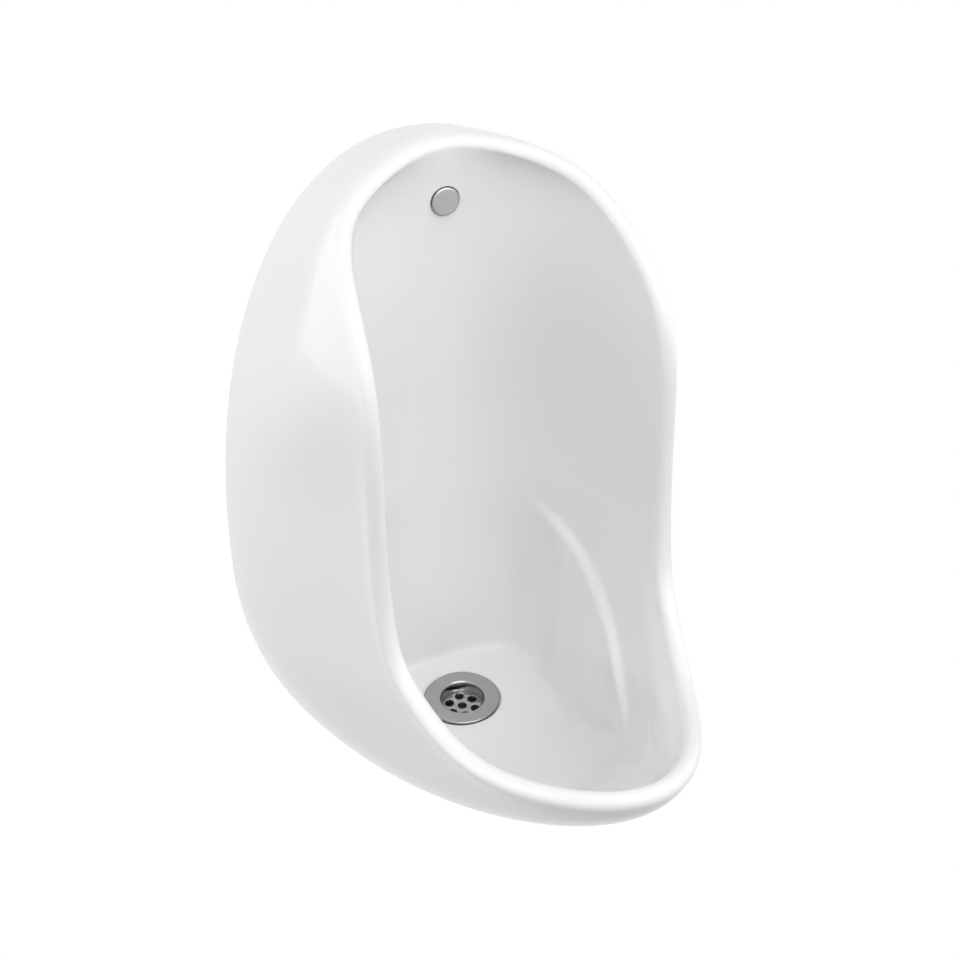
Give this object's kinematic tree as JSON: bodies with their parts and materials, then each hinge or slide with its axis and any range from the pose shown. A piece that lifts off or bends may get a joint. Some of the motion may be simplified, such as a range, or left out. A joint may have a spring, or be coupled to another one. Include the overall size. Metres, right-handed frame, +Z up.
{
  "type": "wall hung urinal",
  "caption": "Wall hung urinal in white glazed china, with a chrome spreader, a flanged waste with a seven-hole grating, back inlet fittings and two wall hangers.",
  "frame": {"origin": "on the wall plane, on the centre line, at the middle of the four hanger screws", "axes": "+X to the right of someone who faces the bowl, +Y into the wall, +Z up"},
  "size_m": [0.338, 0.424, 0.5938],
  "materials": {
    "china": "gloss",
    "chrome": "polished",
    "brass": "satin",
    "rubber": "matte",
    "plastic": "matte",
    "steel": "satin"
  },
  "bodies": {
    "root": {"bowl": "china", "waste_fitting": "chrome", "waste_grating": "chrome", "waste_top_seal": "rubber", "waste_bottom_washer": "rubber", "waste_slip_washer": "plastic", "waste_backnut": "brass", "spreader_head": "chrome", "spreader_stem": "brass", "spreader_face_seal": "rubber", "spreader_back_washer": "rubber", "spreader_slip_washer": "plastic", "spreader_backnut": "brass", "inlet_union_seal": "rubber", "flush_inlet_tail": "chrome", "inlet_union_nut": "brass", "hanger_left": "steel", "hanger_right": "steel", "hanger_pads": "rubber", "hanger_screws": "steel", "hanger_washers": "steel"}
  },
  "joints": []
}
